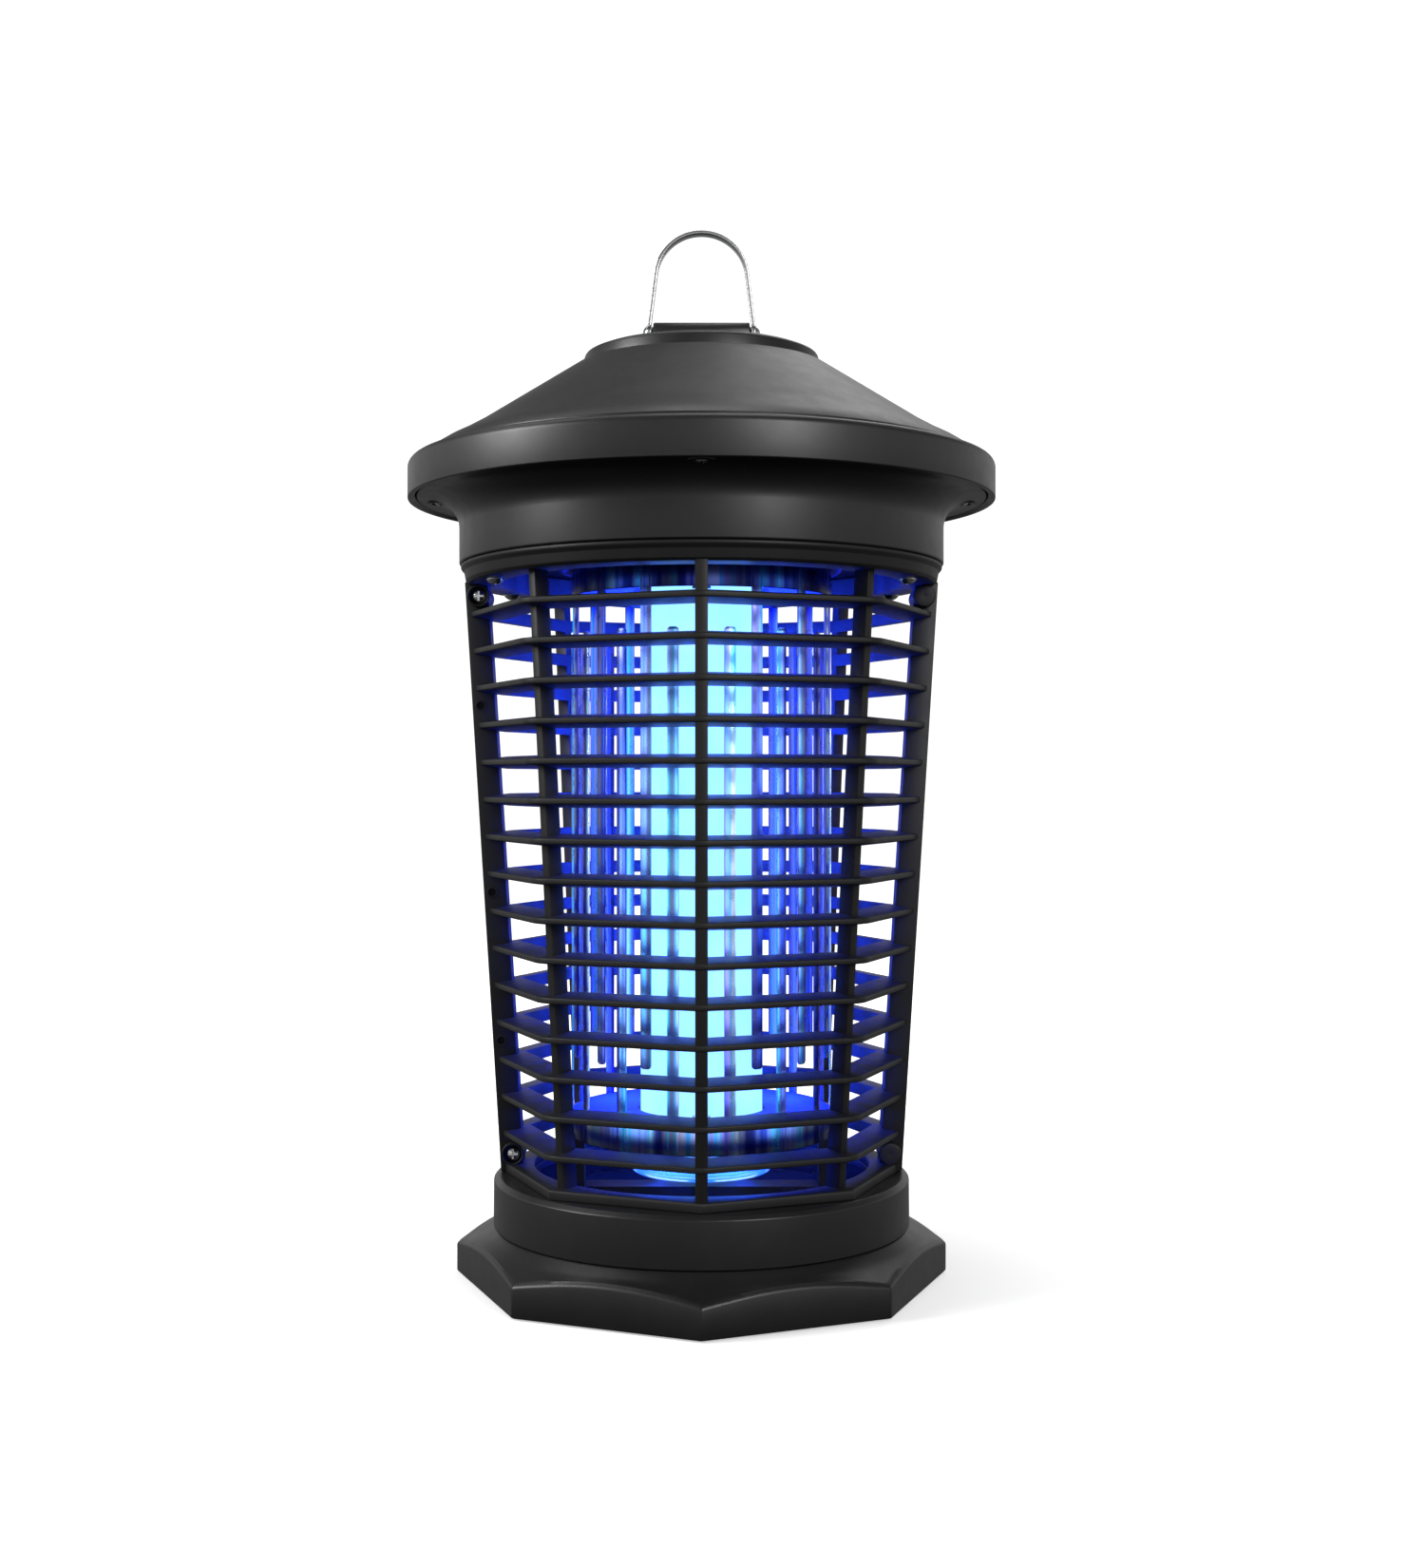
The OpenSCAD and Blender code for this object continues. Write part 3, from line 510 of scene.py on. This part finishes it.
def half_stations(apothem, steps=6):
    """Stations round an octagon's front half: (inner point, outward direction), turning at its corners."""
    ri = apothem / math.cos(EIGHTH)
    out = []
    for k in range(5):
        corner = Vector((ri * math.cos(-k * math.pi / 4), ri * math.sin(-k * math.pi / 4)))
        first = -k * math.pi / 4 + (EIGHTH if k else 0)
        last = -k * math.pi / 4 - (EIGHTH if k < 4 else 0)
        n = steps if 0 < k < 4 else steps // 2
        for i in range(n + 1):
            a = first + (last - first) * i / n
            out.append((corner, Vector((math.cos(a), math.sin(a)))))
    return out


def cage_half(turn, name, node):
    s = Shell()
    for i in range(LOUVRES):
        z = FIRST + i * PITCH
        section = rounded([(0, -2.0, 0.3), (DEEP, -0.83, 0.42), (DEEP, 0.83, 0.42), (0, 2.0, 0.3)], 0.4, 3)
        rings = []
        for corner, d in half_stations(cage_r(z) * math.cos(EIGHTH) - DEEP):
            rings.append([(corner.x + d.x * u, min(corner.y + d.y * u, -0.05), z + w) for u, w in section])
        s.loops(rings, False)

    def rib(angle, width, out_back, in_back):
        a = math.radians(angle)
        d, t = Vector((math.cos(a), math.sin(a))), Vector((-math.sin(a), math.cos(a)))
        corners = []
        for z in (CAGE_Z + 0.2, RING_Z + 1):
            r1, r0 = cage_r(z) - out_back, cage_r(z) - in_back
            for r, w in ((r1, -1), (r1, 1), (r0, 1), (r0, -1)):
                p = d * r + t * (w * width / 2)
                corners.append((p.x, p.y, z))
        s.block(corners, 0.35)

    rib(-90, 3.5, 1.1, DEEP + 0.7)
    for a in (-135, -45):
        rib(a, 2.8, 4.4, DEEP + 0.7)
    for side in (-1, 1):
        corners = []
        for z in (CAGE_Z + 0.1, RING_Z + 1):
            r = cage_r(z)
            for x, y in ((r - 0.15, -4.05), (r - 0.15, -0.05), (r - 7.2, -0.05), (r - 7.2, -4.05)):
                corners.append((side * x, y, z))
        s.block(corners, 0.4)
        for z in BOSSES:
            x = side * (cage_r(z) - 4.4)
            if side < 0:
                ring = [(1.6, -0.1), (3.45, -0.1), (3.45, -7.2, 0.3), (2.8, -7.2, 0.3), (2.8, -4.95),
                        (1.6, -4.95)]
            else:
                ring = [(0, -0.1), (3.45, -0.1), (3.45, -7.2, 0.5), (0, -7.2)]
            s.lathe(rounded(ring, 0.1, 3), 40, axis="Y", centre=(x, 0, z))
    ring = [(RING_IN, RING_Z, 0.6), (RING_OUT - 2.5, RING_Z, 0.4), (RING_OUT - 1.5, RING_Z + 0.7, 0.6),
            (RING_OUT - 1.0, RING_Z + 3.4, 0.5), (RING_OUT, RING_Z + 4.5, 0.8), (RING_OUT, NECK_Z - 0.1, 0.5),
            (RING_OUT - 2.2, NECK_Z - 0.1, 0.1), (RING_OUT - 2.2, NECK_Z + 0.9, 0.2),
            (RING_IN, NECK_Z + 0.9, 0.4)]
    s.lathe(rounded(ring, 0.3, 3), 90, -180.05, 179.9)
    rings = []
    for k in range(0, 181, 3):
        a = -math.radians(k)
        near = (k % 45) - 22.5
        ro = cage_r(CAGE_Z) * math.cos(EIGHTH) / math.cos(math.radians(near))
        section = rounded([(FLANGE_IN, 0.0), (ro, 0.0), (ro, 2.85, 0.7), (FLANGE_IN, 2.85, 0.5)], 0.3, 3)
        rings.append([(r * math.cos(a), min(r * math.sin(a), -0.05), CAGE_Z + h) for r, h in section])
    s.loops(rings, False)
    # The round marks get thin dark discs inside their lips: painted shade standing in for each recess.
    pit_shades = Shell()
    for z in DIMPLES:
        centre = (-cage_r(z) + 2.8, 0, z)
        lip = [(1.1, POST_Y), (1.7, POST_Y), (1.7, POST_Y - 0.3, 0.1), (1.2, POST_Y - 0.3, 0.1)]
        s.lathe(rounded(lip, 0.05, 2), 24, axis="Y", centre=centre)
        pit_shades.lathe(rounded(band(0, 1.15, POST_Y, POST_Y - 0.12), 0.02, 2), 24, axis="Y", centre=centre)
    for shell in (s, pit_shades):
        bmesh.ops.rotate(shell.bm, verts=shell.bm.verts, cent=(0, 0, 0),
                         matrix=Matrix.Rotation(math.radians(turn), 3, "Z"))
    s.piece(name, "housing", "cage_black", node)
    pit_shades.piece(name + "_pits", "housing", "gland_black")


# ------------------------------------------------------------------ collar and tray
def base_collar():
    s = Shell()
    r, _, z1 = extent("base_collar")[1]
    z0 = 16.6
    ledge_in, ledge_z = 59.4, 17.3
    s.lathe(rounded([(r - 2.6, z0, 0.3), (r, z0, 0.35), (r - 0.1, z1 - 1.4, 0.6), (r - 1.5, z1, 0.9),
                     (FLANGE_IN, z1, 0.3), (FLANGE_IN, z1 - 2.35, 0.3), (r - 2.6, z1 - 2.35, 0.8)], 0.3), 180)
    for a in LUGS:
        s.lathe(rounded(band(ledge_in, r - 1.2, ledge_z, ledge_z + 2), 0.2, 2), 8, a - 8, 16)
        for off in (-11, 28):
            s.lathe(rounded(band(ledge_in, r - 1.2, ledge_z, ledge_z + 4), 0.2, 2), 4, a + off, 3)
    for side in (-1, 1):
        xs = sorted((side * 53.6, side * 61.6))
        s.block([(xs[0], -6, 27.7), (xs[1], -6, 27.7), (xs[1], 6, 27.7), (xs[0], 6, 27.7),
                 (xs[0], -6, 30.0), (xs[1], -6, 30.0), (xs[1], 6, 30.0), (xs[0], 6, 30.0)], 0.3)
    s.piece("base_collar_shell", "housing", "base_black", "base_collar")


def tray():
    s = Shell()
    bowl_r, wall_r, wall_top = 56.65, 59.05, 21.2
    seam_r, seam_z = 63.75, 16.3
    corner = tray_hi[0]
    mid = corner * math.cos(EIGHTH)
    heights = [(corner + 2.5, 8.5), (corner, 9.8), ((corner + mid) / 2, 11.05), (mid, 12.6), (66.8, 14.2),
               (seam_r, seam_z)]

    def slope(r):
        """Height of the concave upper face at a radius, straight between the heights above."""
        pts = sorted(heights)
        if r <= pts[0][0]:
            return pts[0][1]
        for (r0, z0), (r1, z1) in zip(pts, pts[1:]):
            if r <= r1:
                return z0 + (z1 - z0) * (r - r0) / (r1 - r0)
        return pts[-1][1]

    round_r = 1.3
    centre_r = corner - round_r / math.cos(EIGHTH)

    def on_corner(a, b):
        """A point on the rounded corner at the angle a, facing the direction b."""
        return Vector((centre_r * math.cos(a) + round_r * math.cos(b),
                       centre_r * math.sin(a) + round_r * math.sin(b)))

    outline = []
    for k in range(8):
        a = k * math.pi / 4
        for i in range(7):
            outline.append(tuple(on_corner(a, a - EIGHTH + 2 * EIGHTH * i / 6)))
        p = Vector(outline[-1])
        q = on_corner(a + math.pi / 4, a + math.pi / 4 - EIGHTH)
        for i in range(1, 24):
            outline.append(tuple(p.lerp(q, i / 24)))
    rings = []
    for x, y in outline:
        r = math.hypot(x, y)
        ux, uy = x / r, y / r
        top = slope(r)
        path = [(0, 4.8), (bowl_r - 0.65, 4.8), (bowl_r - 0.15, 5.0), (bowl_r, 5.6), (bowl_r, wall_top - 0.3),
                (bowl_r + 0.25, wall_top), (wall_r - 0.25, wall_top), (wall_r, wall_top - 0.3),
                (wall_r, seam_z), (seam_r - 0.15, seam_z)]
        for f in (0.15, 0.3, 0.45, 0.6, 0.75, 0.88):
            rr = seam_r + (r - 1.0 - seam_r) * f
            path.append((rr, slope(rr) - 0.33 * math.sin(math.pi * f)))
        lip = 1.1
        base = slope(r - lip)
        path += [(r - lip, base - 0.05), (r - 0.55, top - 0.15), (r - 0.2, top - 0.5), (r, top - 1.1),
                 (r, 1.1), (r - 0.2, 0.65), (r - 0.6, 0.5), (r - 2.2, 0.5), (r - 2.5, 0.8), (r - 2.5, 6.0),
                 (60.5, 6.0), (59.0, 2.6), (58.4, 2.4), (0, 2.4)]
        rings.append([(ux * q, uy * q, z) for q, z in path])
    s.loops(rings, True)
    for a in LUGS:
        s.lathe(rounded(band(58.2, 61.1, 19.6, wall_top), 0.25, 2), 8, a - 7, 14)
    for a in FEET:
        s.lathe(rounded([(0, 1.4), (6, 1.4, 0.3), (6, 7.5), (0, 7.5)], 0.1, 2), 40, centre=around(FEET_R, a))
    s.piece("tray_shell", "tray", "base_black", "tray", smooth=28.0)


def feet():
    s = Shell()
    for a in FEET:
        s.lathe(rounded([(0, 0), (5, 0, 0.45), (5, 1.4, 0.1), (0, 1.4)], 0.1, 3), 40,
                centre=around(FEET_R, a))
    s.piece("tray_foot_pads", "tray", "foot_rubber", "tray_feet")


# ------------------------------------------------------------------ grid and lamp
GRID_R = 40.1
SHEET = 0.7
BAND_H = 7.8
FINGERS = 15
FINGER_W = 3.4


def comb(name, node, band_z, low, high, first, tip_up):
    s = Shell()
    r1, r0 = GRID_R, GRID_R - SHEET
    edge = [(r0, band_z, 0.25), (r1, band_z, 0.3), (r1, band_z + BAND_H, 0.3), (r0, band_z + BAND_H, 0.25)]
    s.lathe(rounded(edge, 0.2, 3), 120)
    if node == "lower_comb":
        s.lathe(rounded(band(GRID_R - 4, GRID_R - 0.4, band_z, band_z + SHEET), 0.15, 2), 120)
    for i in range(FINGERS):
        a = math.radians(first + i * 360 / FINGERS)
        d, t = Vector((math.cos(a), math.sin(a))), Vector((-math.sin(a), math.cos(a)))
        half = FINGER_W / 2
        if tip_up:
            zs = [(band_z + 1, half), (high - 0.9, half), (high - 0.35, half - 0.25), (high, half - 0.8)]
        else:
            zs = [(low, half - 0.8), (low + 0.35, half - 0.25), (low + 0.9, half), (band_z + 6, half)]
        rings = []
        for z, w in zs:
            ring = []
            for u, v in rounded(band(r0 + 0.03, r1 - 0.03, -w, w), 0.16, 2):
                p = d * u + t * v
                ring.append((p.x, p.y, z))
            rings.append(ring)
        s.loops(rings, False)
    s.piece(name, "housing", "grid_metal", node)


def lamp():
    s = Shell()
    r, z0, z1 = lamp_hi[0], lamp_lo[2], lamp_hi[2]
    glass = 1.2
    outer = [p[:2] for p in arc(r - 5, z0 + 5, 5, -90, 0, 10)]
    inner = [p[:2] for p in arc(r - 5, z0 + 5, 5 - glass, 0, -90, 8)]
    s.lathe([(0, z0)] + outer + [(r, z1), (r - glass, z1)] + inner + [(0, z0 + glass)], 96)
    # the blue lights below stand in for what the tube throws on its surroundings
    s.piece("lamp_glass_tube", "housing", "lamp_glass", "lamp_tube").visible_diffuse = False


def cup():
    s = Shell()
    low, high = extent("lamp_cup")
    top = high[2]
    s.lathe(rounded([(0, low[2]), (21.8, low[2], 1.8), (21.8, top - 1.6, 0.4), (26, top - 1.6, 0.4),
                     (26, top, 0.3), (20.3, top, 0.3), (20.3, low[2] + 1.5, 1.0), (0, low[2] + 1.5)],
                    0.3, 5), 120)
    s.piece("lamp_cup_clear", "housing", "cup_clear", "lamp_cup")


roof()
head_base()
hanger_cap()
bail()
cage_half(0, "cage_front_shell", "cage_front")
cage_half(180, "cage_back_shell", "cage_back")
base_collar()
tray()
feet()
comb("upper_comb_sheet", "upper_comb", comb_hi[2] - BAND_H, comb_lo[2], comb_hi[2], -90.0, False)
comb("lower_comb_sheet", "lower_comb", low_comb_lo[2], low_comb_lo[2], low_comb_hi[2], -78.0, True)
lamp()
cup()


# ------------------------------------------------------------------ studio
def stage_plane(name, size, z):
    mesh = bpy.data.meshes.new(name)
    bm = bmesh.new()
    bmesh.ops.create_grid(bm, x_segments=8, y_segments=8, size=size)
    bmesh.ops.translate(bm, verts=bm.verts, vec=(0, 0, z))
    bm.to_mesh(mesh)
    bm.free()
    obj = bpy.data.objects.new(name, mesh)
    bpy.context.scene.collection.objects.link(obj)
    return obj


def white_stage(name, glow, reflect, near=None):
    """A white surface that glows, to stay white up to the horizon; near is its weaker glow under the object,
    a painted shadow.
    """
    mat, tree, bsdf = new_material(name)
    cloud = noise(tree, 3.0, 2.0)
    ramp(tree, cloud.outputs["Fac"], [(0.3, (reflect * 0.98,) * 3), (0.7, (reflect,) * 3)],
         bsdf.inputs["Base Color"])
    bsdf.inputs["Roughness"].default_value = 0.9
    bsdf.inputs["Specular IOR Level"].default_value = 0.0
    bsdf.inputs["Emission Color"].default_value = (1, 1, 1, 1)
    if near is None:
        bsdf.inputs["Emission Strength"].default_value = glow
        return mat
    # painted shadow: the glow climbs from near, within 0.07 m of the floor's centre, to its full strength at
    # 0.26 m
    coord = tree.nodes.new("ShaderNodeTexCoord")
    far = tree.nodes.new("ShaderNodeVectorMath")
    far.operation = "LENGTH"
    tree.links.new(coord.outputs["Object"], far.inputs[0])
    spread = tree.nodes.new("ShaderNodeMapRange")
    for key, value in (("From Min", 0.07), ("From Max", 0.26), ("To Min", near), ("To Max", glow)):
        spread.inputs[key].default_value = value
    tree.links.new(far.outputs["Value"], spread.inputs["Value"])
    tree.links.new(spread.outputs["Result"], bsdf.inputs["Emission Strength"])
    return mat


def backdrop(radius):
    """A dome far behind everything, which only the camera sees."""
    mesh = bpy.data.meshes.new("studio_backdrop")
    bm = bmesh.new()
    bmesh.ops.create_uvsphere(bm, u_segments=48, v_segments=24, radius=radius)
    bm.to_mesh(mesh)
    bm.free()
    obj = bpy.data.objects.new("studio_backdrop", mesh)
    bpy.context.scene.collection.objects.link(obj)
    return obj


floor = stage_plane("studio_floor", 12.0, 0.0)
# its glow drops to 0.46 under the object, as painted shadow
floor.data.materials.append(white_stage("studio_floor", 1.0, 0.8, 0.46))
dome = backdrop(14.0)
dome.data.materials.append(white_stage("studio_backdrop", 1.15, 0.0))
for thing in (floor, dome):
    thing.visible_glossy = False
    thing.visible_diffuse = False
dome.visible_shadow = False
bpy.context.scene.view_settings.view_transform = "Standard"


def area(name, at, aim, width, height, power, colour=(1, 1, 1)):
    data = bpy.data.lights.new(name, "AREA")
    data.shape = "RECTANGLE"
    data.size, data.size_y = width, height
    data.energy = power
    data.color = colour
    obj = bpy.data.objects.new(name, data)
    bpy.context.scene.collection.objects.link(obj)
    obj.location = at
    obj.rotation_mode = "QUATERNION"
    obj.rotation_quaternion = (Vector(aim) - Vector(at)).to_track_quat("-Z", "Y")
    obj.visible_camera = False
    return obj


def polar(azimuth, elevation, distance, height=0.2):
    """A place round the object: azimuth 0 is in front, 90 is on its right."""
    a, e = math.radians(azimuth), math.radians(elevation)
    out = distance * math.cos(e)
    return (out * math.sin(a), -out * math.cos(a), height + distance * math.sin(e))


CENTRE = (0, 0, 0.18)
area("softbox_left", polar(-74, 24, 1.3), CENTRE, 0.40, 0.6, 13.5)
area("softbox_right", polar(31, 21, 1.5), CENTRE, 0.40, 0.7, 12)
area("softbox_back", polar(154, 44, 1.3), CENTRE, 0.62, 0.6, 2.1)
area("softbox_high", polar(-118, 58, 1.3), CENTRE, 0.5, 0.5, 1.6)
area("softbox_top", polar(172, 78, 1.4), CENTRE, 0.5, 0.5, 2.6)

world = bpy.data.worlds.new("studio_world")
bpy.context.scene.world = world
world.use_nodes = True
wt = world.node_tree
coord = wt.nodes.new("ShaderNodeTexCoord")
split = wt.nodes.new("ShaderNodeSeparateXYZ")
wt.links.new(coord.outputs["Generated"], split.inputs["Vector"])
rise = wt.nodes.new("ShaderNodeMapRange")
rise.inputs["From Min"].default_value = -1.0
wt.links.new(split.outputs["Z"], rise.inputs["Value"])
# dim below the horizon, brightest a little above it, and dark overhead
LEVELS = ((0.0, 0.04), (0.24, 0.08), (0.34, 0.21), (0.46, 0.25), (0.52, 0.45), (0.57, 0.78), (0.64, 0.62),
          (0.72, 0.16), (1.0, 0.07))
ramp(wt, rise.outputs["Result"], [(at, (level,) * 3) for at, level in LEVELS],
     wt.nodes["Background"].inputs["Color"])

# The lamp's own glow, as rings of small blue lights round the tube; what it hardly reaches is left dark
UNLIT = ("roof", "head_base", "lower_bracket", "studio")
GLOW_RINGS = ((0.0385, 0.2), (0.062, 0.75), (0.098, 1.2), (0.134, 1.2), (0.170, 1.2), (0.198, 1.0))
GLOW_R = 0.029
lit = bpy.data.collections.new("lit_by_lamp")
for obj in bpy.context.scene.objects:
    if obj.type == "MESH" and not obj.name.startswith(UNLIT):
        lit.objects.link(obj)
for ring, (z, power) in enumerate(GLOW_RINGS):
    for i in range(6):
        a = math.radians(60 * i + 30 * (ring % 2))
        data = bpy.data.lights.new(f"glow_{ring}_{i}", "POINT")
        # more light on the back, except in the lowest ring
        share = 0.24 + 1.35 * max(0.0, math.sin(a)) ** 2 if ring else 1.0
        data.energy = power * share
        data.color = (0.012, 0.045, 1.0)
        data.shadow_soft_size = 0.004
        obj = bpy.data.objects.new(f"glow_{ring}_{i}", data)
        bpy.context.scene.collection.objects.link(obj)
        obj.location = (GLOW_R * math.cos(a), GLOW_R * math.sin(a), z)
        obj.visible_camera = False
        obj.visible_glossy = False
        obj.light_linking.receiver_collection = lit

# The cyan and violet sheen on the grid's bright strips, from lights that reach only the combs
sheen = bpy.data.collections.new("lit_combs")
for obj in bpy.context.scene.objects:
    if obj.name in ("upper_comb_sheet", "lower_comb_sheet"):
        sheen.objects.link(obj)
for name, azimuth, colour, power in (("sheen_left", -62, (0.22, 0.62, 1.0), 3.0),
                                     ("sheen_front", 4, (0.42, 0.50, 1.0), 2.2),
                                     ("sheen_right", 66, (0.22, 0.55, 1.0), 3.0)):
    lamp = area(name, polar(azimuth, 2, 0.8, 0.13), (0, 0, 0.13), 0.5, 0.5, power, colour)
    lamp.light_linking.receiver_collection = sheen

# ------------------------------------------------------------------ camera
cam_data = bpy.data.cameras.new("camera")
cam_data.sensor_width = 36.0
cam_data.lens = 44.22545
cam_data.shift_x = 0.00703
cam_data.shift_y = -0.00299
cam_data.clip_start = 0.02
cam_data.clip_end = 60.0
cam = bpy.data.objects.new("camera", cam_data)
bpy.context.scene.collection.objects.link(cam)
cam.location = (0.0, -0.596, 0.15254)
cam.rotation_euler = (math.radians(90), 0, 0)
bpy.context.scene.camera = cam
